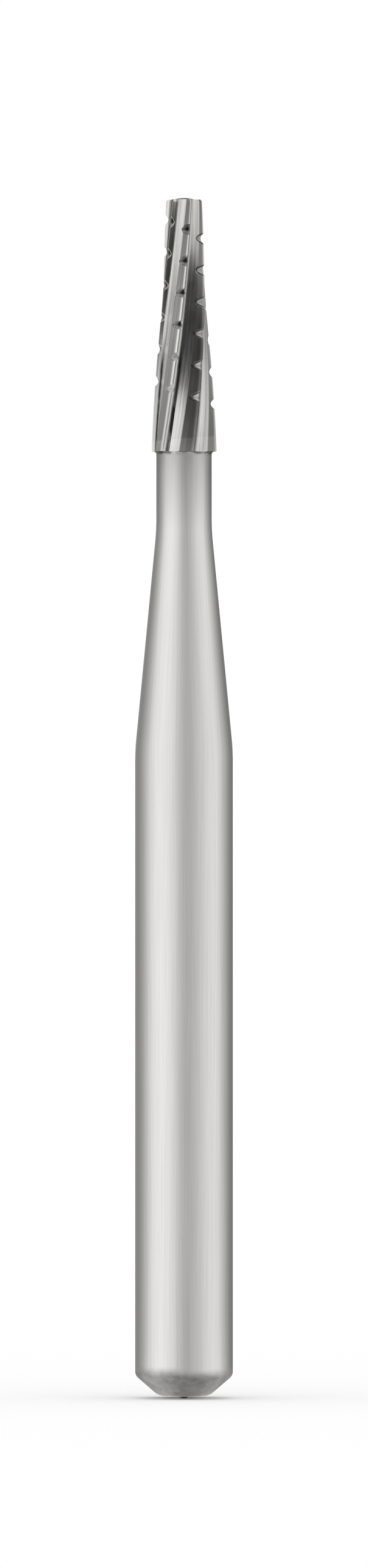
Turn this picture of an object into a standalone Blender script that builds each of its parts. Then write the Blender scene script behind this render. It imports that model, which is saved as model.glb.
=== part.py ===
"""Tapered crosscut fissure bur for a friction-grip handpiece: a carbide head brazed to a steel shank.

The bur stands on its shank end with the cutting tip up. Its axis is Z, and Z = 0 is the lowest point of
the shank end. All sizes are in metres, and all angles are in degrees.
"""

import math

import bmesh
import bpy

MM = 0.001

# Whole bur: its lengths add up from the shank end to the blade ends, and the dome stands on those
SHANK_LENGTH = 10.60 * MM
CONE_LENGTH = 3.61 * MM
NECK_LENGTH = 1.282 * MM
HEAD_LENGTH = 4.118 * MM
SHANK_DIAMETER = 1.60 * MM
NECK_DIAMETER = 0.907 * MM

# Shank end: a flat end face with the nub where the bar was cut off, and a ground chamfer round it
NUB_RADIUS = 0.10 * MM
NUB_HEIGHT = 0.033 * MM
NUB_TIP_RADIUS = 0.03 * MM
NUB_TIP_RISE = 0.003 * MM
END_FACE_DISH = 0.007 * MM
CHAMFER_WIDTH = 0.386 * MM
CHAMFER_ANGLE = 41.0
CHAMFER_OUTER_FILLET = 0.14 * MM
CHAMFER_INNER_FILLET = 0.25 * MM
NUB_FILLET = 0.05 * MM

# Blends at both ends of the cone
CONE_BLEND_RADIUS = 4.0 * MM

# Fluted head
TIP_DIAMETER = 0.587 * MM
HEAD_BASE_DIAMETER = 1.084 * MM
BLADE_COUNT = 6
HELIX_TURN_PER_MM = 15.8
TIP_BLADE_ANGLE = 23.8
UNDERSIDE_RISE = 0.015 * MM
UNDERSIDE_FILLET = 0.045 * MM
UNDERSIDE_DEPTH = 0.068 * MM
NECK_END_BELOW_HEAD = 0.35 * MM

# Tooth section, at the tip and at the head's base
TIP_ROOT_RADIUS = 0.212 * MM
BASE_ROOT_ABOVE_NECK = 0.004 * MM
TIP_LAND_WIDTH = 0.070 * MM
BASE_LAND_WIDTH = 0.250 * MM
TIP_CLEARANCE = 28.0
BASE_CLEARANCE = 22.0
NEGATIVE_RAKE = 12.0
ROOT_FILLET = 0.095 * MM

# Crosscut notches, which break each blade's edge. The shifts say how far each blade's notches lie above
# the first blade's, counting the blades towards +X.
NOTCH_COUNT = 6
NOTCH_PITCH = 0.520 * MM
NOTCH_WIDTH = 0.170 * MM
NOTCH_DEPTH = 0.058 * MM
NOTCH_SHIFTS = (0.0, -0.141 * MM, -0.242 * MM, 0.190 * MM, 0.169 * MM, 0.128 * MM)
TIP_NOTCH_FALL = 12.0
BASE_NOTCH_FALL = 0.0
SHORTEST_NOTCH_RUN = 0.2
LONGEST_NOTCH_RUN = 0.95
FIRST_NOTCH_BELOW_TIP = 0.500 * MM

# Tip
TIP_DOME_HEIGHT = 0.030 * MM
TIP_DOME_RADIUS = 0.180 * MM
TIP_BEVEL_WIDTH = 0.020 * MM
TIP_BEVEL_HEIGHT = 0.030 * MM

# Braze plane between carbide and steel, which tilts a little, higher at +X
JOINT_ABOVE_HEAD_BASE = 0.205 * MM
JOINT_TILT = 5.0

# Fineness of the mesh
FILLET_STEPS = 5
ROOT_FILLET_STEPS = 5
UNDERSIDE_FILLET_STEPS = 8
UNDERSIDE_STEPS = (0.0, 0.3, 0.55, 0.8, 1.0)
NOTCH_ROWS = ((-1.0, 0.0), (-0.58, 0.5), (-0.22, 1.0), (0.22, 1.0), (0.58, 0.5), (1.0, 0.0))
TIP_DOME_STEPS = (1.0, 0.7, 0.4)
JOINT_SOLVE_STEPS = 4
SHARP_ANGLE = 25.0

# How far each column of a tooth follows its blade's notches: back, land, edge, rake face, root
COLUMN_SHIFTS = (0.0, 0.5, 1.0, 1.0, 1.0, 1.0, 1.0, 0.67, 0.33)
# The same for a whole ring: beside the notches, halfway to the head's plain ends, and at those ends
BY_NOTCHES = 1.0
HALFWAY = 0.5
AT_END = 0.0

CONE_TOP_Z = SHANK_LENGTH + CONE_LENGTH
HEAD_BASE_Z = CONE_TOP_Z + NECK_LENGTH
TIP_Z = HEAD_BASE_Z + HEAD_LENGTH
OVERALL_LENGTH = TIP_Z + TIP_DOME_HEIGHT
JOINT_Z = HEAD_BASE_Z + JOINT_ABOVE_HEAD_BASE
SHANK_RADIUS = SHANK_DIAMETER / 2
NECK_RADIUS = NECK_DIAMETER / 2
COLUMNS = BLADE_COUNT * len(COLUMN_SHIFTS)


def lerp(first, last, share):
    return first + (last - first) * share


def between(first, last, share):
    return lerp(first[0], last[0], share), lerp(first[1], last[1], share)


def turned(point, angle):
    x, y = point
    return x * math.cos(angle) - y * math.sin(angle), x * math.sin(angle) + y * math.cos(angle)


def clear_scene():
    for obj in list(bpy.data.objects):
        bpy.data.objects.remove(obj, do_unlink=True)


def filleted(corners, steps):
    """Turns corners (x, y, fillet radius) into an outline that rounds each inner corner with an arc."""
    outline = [corners[0][:2]]
    for before, corner, after in zip(corners, corners[1:], corners[2:]):
        x, y, radius = corner
        into = math.atan2(before[1] - y, before[0] - x)
        turn = math.atan2(after[1] - y, after[0] - x) - into
        turn = (turn + math.pi) % (2 * math.pi) - math.pi
        centre_reach = radius / math.sin(abs(turn) / 2)
        centre = turned((centre_reach, 0), into + turn / 2)
        tangent = turned((radius / math.tan(abs(turn) / 2), 0), into)
        spoke = tangent[0] - centre[0], tangent[1] - centre[1]
        sweep = turn - math.copysign(math.pi, turn)
        for step in range(steps + 1):
            arm = turned(spoke, sweep * step / steps)
            outline.append((x + centre[0] + arm[0], y + centre[1] + arm[1]))
    outline.append(corners[-1][:2])
    return outline


def head_share(z):
    """0 at the tip and 1 at the base of the fluted head."""
    return (TIP_Z - z) / HEAD_LENGTH


def edge_radius(z):
    return lerp(TIP_DIAMETER, HEAD_BASE_DIAMETER, head_share(z)) / 2


def above_floor(point, edge, fall):
    """The height of a point of the tooth section above a notch's floor, which falls backwards from the edge."""
    return (point[0] - edge[0]) * math.cos(fall) - (point[1] - edge[1]) * math.sin(fall)


def tooth_section(z, depth):
    """One tooth from the root behind it to the root before it, with its cutting edge on the local X axis.

    The relief land falls away behind the edge and the back runs on down to the root. A notch of this depth
    lowers the edge down the rake face. Its floor falls backwards less steeply than the land, so a shallow
    notch ends on the land and a deep one cuts through the land and ends on the back.
    """
    share = head_share(z)
    radius = edge_radius(z)
    root = lerp(TIP_ROOT_RADIUS, NECK_RADIUS + BASE_ROOT_ABOVE_NECK, share)
    land_width = lerp(TIP_LAND_WIDTH, BASE_LAND_WIDTH, share)
    clearance = math.radians(lerp(TIP_CLEARANCE, BASE_CLEARANCE, share))
    fall = math.radians(lerp(TIP_NOTCH_FALL, BASE_NOTCH_FALL, share))
    rake = math.radians(NEGATIVE_RAKE)
    pitch = 2 * math.pi / BLADE_COUNT

    rake_length = radius * math.cos(rake) - math.sqrt(root**2 - (radius * math.sin(rake)) ** 2)
    sharp_root = radius - rake_length * math.cos(rake), rake_length * math.sin(rake)
    land_end = radius - land_width * math.sin(clearance), -land_width * math.cos(clearance)
    next_land_end = turned(land_end, pitch)
    corners = (radius, 0.0, 0.0), (*sharp_root, ROOT_FILLET), (*next_land_end, 0.0)
    root_arc = filleted(corners, ROOT_FILLET_STEPS)[1:-1]
    back_start = turned(root_arc[-1], -pitch)

    edge = radius - depth, depth * math.tan(rake)
    at_edge = above_floor((radius, 0.0), edge, fall)
    at_land_end = above_floor(land_end, edge, fall)
    if at_land_end > 0:
        at_back_start = above_floor(back_start, edge, fall)
        land_end = between(land_end, back_start, at_land_end / (at_land_end - at_back_start))
        notch_end = between(edge, land_end, 0.5)
    else:
        run = at_edge / (at_edge - at_land_end)
        run = min(max(run, SHORTEST_NOTCH_RUN), LONGEST_NOTCH_RUN)
        notch_end = between((radius, 0.0), land_end, run)
    back_middle = between(back_start, land_end, 0.5)
    land_middle = between(land_end, notch_end, 0.5)
    return back_start, back_middle, land_end, land_middle, notch_end, edge, *root_arc[:-1]


def head_point(z, blade, column, depth=0.0):
    """The point of one column of one tooth at this height, on the helix."""
    along, across = tooth_section(z, depth)[column]
    blade_turn = TIP_BLADE_ANGLE - HELIX_TURN_PER_MM * (TIP_Z - z) / MM + 360 / BLADE_COUNT * blade
    angle = math.radians(blade_turn)
    x = along * math.sin(angle) + across * math.cos(angle)
    y = -along * math.cos(angle) + across * math.sin(angle)
    return x, y, z


def head_ring(point_of):
    """A ring round the head, from a function of the blade and the column."""
    return [point_of(blade, column) for blade in range(BLADE_COUNT) for column in range(len(COLUMN_SHIFTS))]


def shifted_ring(z, follow, depth=0.0):
    """A ring whose blade edges lie at the height of each blade's own notches, as far as follow says."""

    def point_of(blade, column):
        shift = NOTCH_SHIFTS[blade % len(NOTCH_SHIFTS)]
        return head_point(z + follow * COLUMN_SHIFTS[column] * shift, blade, column, depth)

    return head_ring(point_of)


def joint_ring():
    """The section in the tilted braze plane, which both pieces end in."""

    def point_of(blade, column):
        z = JOINT_Z
        for _ in range(JOINT_SOLVE_STEPS):
            x = head_point(z, blade, column)[0]
            z = JOINT_Z + x * math.tan(math.radians(JOINT_TILT))
        return head_point(z, blade, column)

    return head_ring(point_of)


def notch_rings():
    """Rings from the lowest notch to the highest, with one between each two notches."""
    rings = []
    for notch in reversed(range(NOTCH_COUNT)):
        centre = TIP_Z - FIRST_NOTCH_BELOW_TIP - notch * NOTCH_PITCH
        for across, share in NOTCH_ROWS:
            z = centre + across * NOTCH_WIDTH / 2
            rings.append(shifted_ring(z, BY_NOTCHES, share * NOTCH_DEPTH))
        if notch:
            rings.append(shifted_ring(centre + NOTCH_PITCH / 2, BY_NOTCHES))
    return rings


def tip_rings():
    """The bevel round the blade ends and the dome inside them."""
    shrink = 1 - TIP_BEVEL_WIDTH / edge_radius(TIP_Z)
    full = shifted_ring(TIP_Z - TIP_BEVEL_HEIGHT, AT_END)
    end = [(x * shrink, y * shrink, z) for x, y, z in shifted_ring(TIP_Z, AT_END)]
    rings = [full, end]
    for share in TIP_DOME_STEPS:
        ring = []
        for x, y, z in end:
            scale = share * TIP_DOME_RADIUS / math.hypot(x, y)
            ring.append((x * scale, y * scale, z + TIP_DOME_HEIGHT * (1 - share**2)))
        rings.append(ring)
    return rings


def underside_path(radius):
    """Down the head's underside and its fillet from this radius to the neck: (radius, height) points."""
    corner_z = HEAD_BASE_Z - UNDERSIDE_RISE
    corners = (
        (edge_radius(HEAD_BASE_Z), HEAD_BASE_Z, 0.0),
        (NECK_RADIUS, corner_z, UNDERSIDE_FILLET),
        (NECK_RADIUS, corner_z - UNDERSIDE_DEPTH, 0.0),
    )
    outline = filleted(corners, UNDERSIDE_FILLET_STEPS)
    while len(outline) > 2 and outline[1][0] >= radius:
        outline.pop(0)
    (r0, z0), (r1, z1) = outline[:2]
    outline[0] = radius, lerp(z0, z1, (r0 - radius) / (r0 - r1))
    lengths = [0.0]
    for (r0, z0), (r1, z1) in zip(outline, outline[1:]):
        lengths.append(lengths[-1] + math.hypot(r1 - r0, z1 - z0))
    path = []
    for step in UNDERSIDE_STEPS:
        reach = step * lengths[-1]
        index = max(i for i in range(len(outline) - 1) if lengths[i] <= reach)
        share = (reach - lengths[index]) / (lengths[index + 1] - lengths[index])
        (r0, z0), (r1, z1) = outline[index : index + 2]
        path.append((lerp(r0, r1, share), lerp(z0, z1, share)))
    return path


def underside_rings():
    """Rings from the neck up to where the flutes run out at the head's underside."""
    columns = []
    for x, y, _ in head_ring(lambda blade, column: head_point(HEAD_BASE_Z, blade, column)):
        radius = math.hypot(x, y)
        columns.append([(x * r / radius, y * r / radius, z) for r, z in underside_path(radius)])
    return [list(ring) for ring in zip(*columns)][::-1]


def shank_outline():
    """The turned outline from the nub at the shank end to just below the head."""
    face_z = NUB_HEIGHT + END_FACE_DISH
    chamfer_top = face_z + CHAMFER_WIDTH * math.tan(math.radians(CHAMFER_ANGLE))
    corners = (
        (NUB_TIP_RADIUS, NUB_TIP_RISE, 0.0),
        (NUB_RADIUS, NUB_HEIGHT, NUB_FILLET),
        (SHANK_RADIUS - CHAMFER_WIDTH, face_z, CHAMFER_INNER_FILLET),
        (SHANK_RADIUS, chamfer_top, CHAMFER_OUTER_FILLET),
        (SHANK_RADIUS, SHANK_LENGTH, CONE_BLEND_RADIUS),
        (NECK_RADIUS, CONE_TOP_Z, CONE_BLEND_RADIUS),
        (NECK_RADIUS, HEAD_BASE_Z - NECK_END_BELOW_HEAD, 0.0),
    )
    return filleted(corners, FILLET_STEPS)


def shank_rings(neck_ring):
    """Evenly divided rings of the turned outline, turned to lie below the ring at the top of the neck."""
    step = 2 * math.pi / COLUMNS
    first = math.atan2(neck_ring[0][1], neck_ring[0][0])
    leads = []
    for index, (x, y, _) in enumerate(neck_ring):
        lead = (math.atan2(y, x) - first) % (2 * math.pi) - index * step
        leads.append(lead)
    start = first + sum(leads) / COLUMNS
    angles = [start + index * step for index in range(COLUMNS)]
    return [[(r * math.cos(a), r * math.sin(a), z) for a in angles] for r, z in shank_outline()]


def loft(name, rings, bottom=None, top=None):
    """A closed mesh through rings from bottom to top. An end closes on its middle point, or else flat."""
    mesh = bmesh.new()
    rows = [[mesh.verts.new(point) for point in ring] for ring in rings]
    for lower, upper in zip(rows, rows[1:]):
        for i in range(COLUMNS):
            j = (i + 1) % COLUMNS
            mesh.faces.new((lower[i], lower[j], upper[j], upper[i]))
    for row, middle in ((rows[0][::-1], bottom), (rows[-1], top)):
        if middle is None:
            mesh.faces.new(row)
            continue
        centre = mesh.verts.new(middle)
        for i in range(COLUMNS):
            mesh.faces.new((row[i], row[(i + 1) % COLUMNS], centre))
    data = bpy.data.meshes.new(name)
    mesh.to_mesh(data)
    mesh.free()
    data.shade_smooth()
    data.set_sharp_from_angle(angle=math.radians(SHARP_ANGLE))
    obj = bpy.data.objects.new(name, data)
    bpy.context.collection.objects.link(obj)
    return obj


def add_metal(obj, name, colour, roughness):
    material = bpy.data.materials.new(name)
    material.use_nodes = True
    shader = material.node_tree.nodes["Principled BSDF"]
    shader.inputs["Base Color"].default_value = (*colour, 1.0)
    shader.inputs["Metallic"].default_value = 1.0
    shader.inputs["Roughness"].default_value = roughness
    obj.data.materials.append(material)


def make_carbide_head():
    last_notch_z = TIP_Z - FIRST_NOTCH_BELOW_TIP - (NOTCH_COUNT - 1) * NOTCH_PITCH
    lead_in = shifted_ring((JOINT_Z + last_notch_z - NOTCH_PITCH) / 2, HALFWAY)
    lead_out = shifted_ring(TIP_Z - FIRST_NOTCH_BELOW_TIP / 2, HALFWAY)
    rings = [joint_ring(), lead_in, *notch_rings(), lead_out, *tip_rings()]
    head = loft("carbide_head", rings, top=(0.0, 0.0, OVERALL_LENGTH))
    add_metal(head, "Ground cemented carbide", (0.42, 0.42, 0.41), 0.28)


def make_steel_shank():
    fluted = underside_rings()
    rings = [*shank_rings(fluted[0]), *fluted, joint_ring()]
    shank = loft("steel_shank", rings, bottom=(0.0, 0.0, 0.0))
    add_metal(shank, "Ground stainless steel", (0.62, 0.62, 0.61), 0.25)


def main():
    clear_scene()
    make_carbide_head()
    make_steel_shank()


main()
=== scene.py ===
"""Studio scene of a tapered crosscut fissure bur: a fluted carbide head brazed to a plain steel shank."""

import math

import bmesh
import bpy
from bpy.props import FloatProperty, FloatVectorProperty, IntProperty, PointerProperty
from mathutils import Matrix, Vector


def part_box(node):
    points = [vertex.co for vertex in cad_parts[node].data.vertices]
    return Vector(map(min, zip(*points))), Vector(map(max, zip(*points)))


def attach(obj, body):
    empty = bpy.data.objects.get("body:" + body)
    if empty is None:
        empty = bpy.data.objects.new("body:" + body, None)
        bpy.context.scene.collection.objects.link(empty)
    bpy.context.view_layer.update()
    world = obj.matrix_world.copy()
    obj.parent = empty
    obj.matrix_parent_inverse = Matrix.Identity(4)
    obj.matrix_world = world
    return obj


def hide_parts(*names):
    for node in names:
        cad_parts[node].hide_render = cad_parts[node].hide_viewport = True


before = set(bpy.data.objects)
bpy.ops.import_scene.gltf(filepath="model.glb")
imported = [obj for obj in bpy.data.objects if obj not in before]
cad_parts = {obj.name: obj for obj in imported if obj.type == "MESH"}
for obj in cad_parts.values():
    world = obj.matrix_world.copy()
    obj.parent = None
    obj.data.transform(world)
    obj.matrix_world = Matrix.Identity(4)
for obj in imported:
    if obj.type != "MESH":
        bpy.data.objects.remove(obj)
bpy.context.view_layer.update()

bl_info = {
    "name": "Dental bur scene",
    "version": (1, 0, 0),
    "blender": (4, 5, 0),
    "location": "3D View > Sidebar > Bur",
    "description": "Builds the finished bur and its studio round the packed frame",
    "category": "Object",
}

BUR_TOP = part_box("carbide_head")[1][2]
MM = 0.001
DOME_HEIGHT = 0.030 * MM


def linear(hex_colour):
    """An sRGB hex colour as linear red, green and blue."""
    levels = [int(hex_colour[i : i + 2], 16) / 255 for i in (1, 3, 5)]
    return tuple(v / 12.92 if v <= 0.04045 else ((v + 0.055) / 1.055) ** 2.4 for v in levels)


def millimetres(name, description, default):
    return FloatProperty(
        name=name, description=description, default=default * MM, unit="LENGTH", precision=6
    )


def degrees(name, description, default):
    return FloatProperty(
        name=name, description=description, default=math.radians(default), subtype="ANGLE"
    )


def colour(name, description, default):
    return FloatVectorProperty(
        name=name, description=description, default=linear(default), subtype="COLOR", min=0, max=1
    )


class HeadSettings(bpy.types.PropertyGroup):
    tip_height: FloatProperty(
        name="Tip height",
        description="Height of the blades' ends, just below the dome on the tip",
        default=BUR_TOP - DOME_HEIGHT,
        unit="LENGTH",
    )
    length: millimetres("Head length", "Length of the blades", 4.118)
    tip_diameter: millimetres("Tip diameter", "Diameter over the blades at the tip", 0.587)
    base_diameter: millimetres("Base diameter", "Diameter over the blades at the head's base", 1.084)
    blades: IntProperty(name="Blades", description="Number of blades", default=6, min=3, max=12)
    helix: FloatProperty(name="Helix", description="Degrees turned in each millimetre", default=15.8)
    tip_angle: degrees("Tip angle", "Angle of the first blade's end from the front", 23.8)
    tip_root_radius: millimetres("Root at the tip", "Radius of the flutes' floor at the tip", 0.212)
    base_root_radius: millimetres("Root at the base", "Radius of the flutes' floor at the base", 0.4575)
    root_fillet: millimetres("Root fillet", "Radius in the bottom of each flute", 0.095)
    tip_land: millimetres("Land at the tip", "Width of the relief land at the tip", 0.070)
    base_land: millimetres("Land at the base", "Width of the relief land at the base", 0.250)
    tip_clearance: degrees("Clearance at the tip", "Fall of the relief land at the tip", 28.0)
    base_clearance: degrees("Clearance at the base", "Fall of the relief land at the base", 22.0)
    rake: degrees("Negative rake", "Lean of the face before each edge", 12.0)
    notches: IntProperty(name="Notches", description="Crosscuts in each blade", default=6, min=1)
    notch_pitch: millimetres("Notch pitch", "Distance between crosscuts on one blade", 0.520)
    notch_shifts: FloatVectorProperty(
        name="Notch shifts",
        description="How far each blade's crosscuts lie above the first blade's",
        default=[shift * MM for shift in (0.0, -0.141, -0.242, 0.190, 0.169, 0.128)],
        size=6,
        unit="LENGTH",
    )
    notch_width: millimetres("Notch width", "Width of a crosscut along the blade", 0.170)
    notch_depth: millimetres("Notch depth", "Depth of a crosscut at the edge", 0.058)
    tip_notch_fall: degrees("Notch fall at the tip", "Backward fall of a crosscut's floor at the tip", 12.0)
    base_notch_fall: degrees("Notch fall at the base", "The same at the head's base", 0.0)
    first_notch: millimetres("First notch", "Distance of the first crosscut from the tip", 0.500)
    dome_radius: millimetres("Dome radius", "Radius of the dome on the tip", 0.180)
    bevel_width: millimetres("End bevel width", "Width of the bevel round the blades' ends", 0.020)
    bevel_height: millimetres("End bevel height", "Height of the bevel round the blades' ends", 0.030)
    joint_height: millimetres("Braze height", "Height of the braze plane over the head's base", 0.205)
    joint_tilt: degrees("Braze tilt", "Tilt of the braze plane, higher at +X", 5.0)


class ShankSettings(bpy.types.PropertyGroup):
    diameter: millimetres("Shank diameter", "Diameter of the plain shank", 1.60)
    neck_diameter: millimetres("Neck diameter", "Diameter of the slim neck", 0.907)
    length: millimetres("Shank length", "Length of the plain shank", 10.60)
    cone: millimetres("Cone length", "Length of the cone from the shank to the neck", 3.61)
    cone_blend: millimetres("Cone blend", "Radius of the blends at both ends of the cone", 4.0)
    chamfer_width: millimetres("Chamfer width", "Width of the chamfer at the shank's end", 0.386)
    chamfer_angle: degrees("Chamfer angle", "Angle of the chamfer from the end face", 41.0)
    chamfer_outer: millimetres("Chamfer outer fillet", "Radius where it meets the shank", 0.14)
    chamfer_inner: millimetres("Chamfer inner fillet", "Radius where it meets the end face", 0.25)
    nub_radius: millimetres("Nub radius", "Radius of the nub left by the cutting-off tool", 0.10)
    nub_height: millimetres("Nub height", "Height of that nub", 0.033)
    nub_tip: millimetres("Nub tip", "Radius of the nub's flat end", 0.03)
    nub_rise: millimetres("Nub rise", "Rise of the rim of the nub's end", 0.003)
    nub_fillet: millimetres("Nub fillet", "Radius at the foot of the nub", 0.05)
    end_dish: millimetres("End dish", "Rise of the end face towards its rim", 0.007)
    underside_rise: millimetres("Underside rise", "Slope of the head's underside", 0.015)
    underside_fillet: millimetres("Underside fillet", "Radius under the head", 0.045)
    underside_depth: millimetres("Underside depth", "How far the fillet reaches down", 0.068)


class FinishSettings(bpy.types.PropertyGroup):
    carbide: colour("Carbide", "Colour of the ground carbide", "#C9C8C6")
    carbide_land: colour("Carbide land", "Colour of the finely ground lands", "#8B8A88")
    # Painted highlight: a lighter colour along each cutting edge, standing in for the light its rounding
    # catches
    edge: colour("Edge highlight", "Colour of the narrow margin along each cutting edge", "#DDDCD9")
    steel: colour("Steel", "Colour of the ground steel", "#D3D2D0")
    stub: colour("Steel stub", "Colour of the steel that is ground together with the blades", "#CFCECB")
    stub_land: colour("Stub land", "Colour of the lands on that steel", "#A09F9C")
    steel_end: colour("Steel end", "Colour of the tumbled steel at the shank's end", "#9C9B99")
    # Painted shade: the dark colour laid into the roots' creases, the crosscuts and the corner under the
    # head
    painted_shade: colour("Painted shade", "Colour of the painted shade in creases, crosscuts and corners", "#2E2D2C")
    sweep: colour("Sweep", "Colour of the paper floor", "#FFFFFF")


class StageSettings(bpy.types.PropertyGroup):
    frame_height: millimetres("Frame height", "Height of what the picture shows", 25.657)
    frame_middle: millimetres("Frame middle", "Height of the picture's middle", 10.05)
    distance: millimetres("Camera distance", "Distance of the camera from the bur's axis", 250.0)
    tent_radius: millimetres("Tent radius", "Radius of the light tent round the bur", 60.0)


def add_node(tree, kind, links=None, **settings):
    """Adds a node with its settings. A link is a plain value, an output, or a node for its first output."""
    node = tree.nodes.new(kind)
    for name, value in settings.items():
        setattr(node, name, value)
    for socket, source in (links or {}).items():
        if isinstance(source, bpy.types.Node):
            source = next(output for output in source.outputs if output.enabled)
        if isinstance(source, bpy.types.NodeSocket):
            tree.links.new(source, node.inputs[socket])
        else:
            node.inputs[socket].default_value = source
    return node


# Where a Mix node takes its two numbers, vectors or colours
A_NUMBER, B_NUMBER, A_VECTOR, B_VECTOR, A_COLOUR, B_COLOUR = 2, 3, 4, 5, 6, 7


def lerp(first, last, share):
    return first + (last - first) * share


def between(first, last, share):
    return tuple(lerp(a, b, share) for a, b in zip(first, last))


def turned(point, angle):
    x, y = point
    return x * math.cos(angle) - y * math.sin(angle), x * math.sin(angle) + y * math.cos(angle)


def filleted(corners, steps):
    """Turns corners (x, y, fillet radius) into an outline that rounds each inner corner with an arc."""
    outline = [corners[0][:2]]
    for before, corner, after in zip(corners, corners[1:], corners[2:]):
        x, y, radius = corner
        into = math.atan2(before[1] - y, before[0] - x)
        turn = math.atan2(after[1] - y, after[0] - x) - into
        turn = (turn + math.pi) % (2 * math.pi) - math.pi
        centre_reach = radius / math.sin(abs(turn) / 2)
        centre = turned((centre_reach, 0), into + turn / 2)
        tangent = turned((radius / math.tan(abs(turn) / 2), 0), into)
        spoke = tangent[0] - centre[0], tangent[1] - centre[1]
        sweep = turn - math.copysign(math.pi, turn)
        for step in range(steps + 1):
            arm = turned(spoke, sweep * step / steps)
            outline.append((x + centre[0] + arm[0], y + centre[1] + arm[1]))
    outline.append(corners[-1][:2])
    return outline


def base_height(head):
    return head.tip_height - head.length


# The tooth stencil: how many points each face of a tooth gets, and the points at both borders of its land
BACK_POINTS, LAND_POINTS, RAKE_POINTS, ROOT_POINTS = 9, 15, 4, 12
TOOTH_POINTS = BACK_POINTS + LAND_POINTS + RAKE_POINTS + ROOT_POINTS
SHARP_POINTS = BACK_POINTS, BACK_POINTS + LAND_POINTS
# The crease in the root: its middle and half its width, counted in points of the stencil
CREASE_POINT = TOOTH_POINTS - 2.5
CREASE_HALF_WIDTH = 6.5
# The band along each cutting edge that gets a painted highlight, counted in the same way
MARGIN_POINT = BACK_POINTS + LAND_POINTS - 0.5
MARGIN_HALF_WIDTH = 4.5
# Rows of points in the stencil and in the finished surface, whose first and last columns merge
STENCIL_ROWS, HEAD_ROWS = 13, 350
MERGE_DISTANCE = 1e-7


def tooth_points(head, share):
    """One tooth's section at this share of the way from the tip to the base, with its edge on local X.
    Each point's third value says whether it starts a stretch of the land."""
    radius = lerp(head.tip_diameter, head.base_diameter, share) / 2
    root = lerp(head.tip_root_radius, head.base_root_radius, share)
    land_width = lerp(head.tip_land, head.base_land, share)
    clearance = lerp(head.tip_clearance, head.base_clearance, share)
    pitch = 2 * math.pi / head.blades
    root_reach = math.sqrt(root**2 - (radius * math.sin(head.rake)) ** 2)
    rake_length = radius * math.cos(head.rake) - root_reach
    sharp_root = radius - rake_length * math.cos(head.rake), rake_length * math.sin(head.rake)
    edge = radius, 0.0
    land_end = radius - land_width * math.sin(clearance), -land_width * math.cos(clearance)
    corners = (*edge, 0.0), (*sharp_root, head.root_fillet), (*turned(land_end, pitch), 0.0)
    root_arc = filleted(corners, ROOT_POINTS)[1:-1]
    back_start = turned(root_arc[-1], -pitch)
    points = [(*between(back_start, land_end, i / BACK_POINTS), 0.0) for i in range(BACK_POINTS)]
    points += [(*between(land_end, edge, i / LAND_POINTS), 1.0) for i in range(LAND_POINTS)]
    points += [(*between(edge, root_arc[0], i / RAKE_POINTS), 0.0) for i in range(RAKE_POINTS)]
    points += [(*point, 0.0) for point in root_arc[:-1]]
    return points


def stencil_object(head):
    """A mesh that holds the tooth's section at even steps from the tip to the base, with the land's mark as
    height. Its first points also hold the blades' notch shifts."""
    points = []
    for row in range(STENCIL_ROWS):
        points += tooth_points(head, row / (STENCIL_ROWS - 1))
    data = bpy.data.meshes.new("tooth_stencil")
    data.from_pydata(points, [], [])
    shifts = data.attributes.new("notch_shift", "FLOAT", "POINT")
    for blade in range(head.blades):
        shifts.data[blade].value = head.notch_shifts[blade % len(head.notch_shifts)]
    stencil = bpy.data.objects.new("tooth_stencil", data)
    bpy.context.collection.objects.link(stencil)
    return stencil


# Rounding of the crosscuts' rims, and the power that shapes their round floor
NOTCH_ROUNDING = 0.006 * MM
SCALLOP_POWER = 1.15

FLUTED_INPUTS = {
    "Geometry": ("Stencil",),
    "Int": ("Rows", "Stencil rows", "Tooth points", "Blades", "Notches"),
    "Float": (
        "Top", "Base", "Tip height", "Length", "Tip radius", "Base radius", "Helix", "Tip angle", "Rake",
        "Notch pitch", "Notch width", "Notch depth", "Tip notch fall", "Base notch fall", "First notch",
    ),
    "Material": ("Material",),
}
# What the fluted surface stores on its points for the materials: whether they are on a land, how deep they
# are in a crosscut, how low in it and how far inside its rim, how near they are to the root's crease and to
# the edge's margin, and their column round the head
MARKS = "land", "crosscut", "lower", "inside", "crease", "margin", "column"

# Each formula is (result, operation, terms), and a term is a number or the name of an input or a result.
# These turn a grid point's number into its row, blade and point of the tooth, and find its section.
PLACE_FORMULAS = (
    ("columns", "MULTIPLY_ADD", "Tooth points", "Blades", 1.0),
    ("number middle", "ADD", "number", 0.5),
    ("rows passed", "DIVIDE", "number middle", "columns"),
    ("row", "FLOOR", "rows passed"),
    ("row start", "MULTIPLY", "row", "columns"),
    ("column", "SUBTRACT", "number", "row start"),
    ("column middle", "ADD", "column", 0.5),
    ("blades passed", "DIVIDE", "column middle", "Tooth points"),
    ("blade", "FLOOR", "blades passed"),
    ("blade start", "MULTIPLY", "blade", "Tooth points"),
    ("point", "SUBTRACT", "column", "blade start"),
    ("row steps", "SUBTRACT", "Rows", 1.0),
    ("row share", "DIVIDE", "row", "row steps"),
    ("drop", "SUBTRACT", "Base", "Top"),
    ("height", "MULTIPLY_ADD", "row share", "drop", "Top"),
    ("below tip", "SUBTRACT", "Tip height", "height"),
    ("share", "DIVIDE", "below tip", "Length"),
    ("last row", "SUBTRACT", "Stencil rows", 1.0),
    ("stencil row", "MULTIPLY", "share", "last row"),
    ("row limit", "SUBTRACT", "last row", 0.5),
    ("held row", "MINIMUM", "stencil row", "row limit"),
    ("whole row", "FLOOR", "held row"),
    ("row mix", "SUBTRACT", "stencil row", "whole row"),
    ("first index", "MULTIPLY_ADD", "whole row", "Tooth points", "point"),
    ("second index", "ADD", "first index", "Tooth points"),
    ("own blade", "FLOORED_MODULO", "blade", "Blades"),
)
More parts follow.
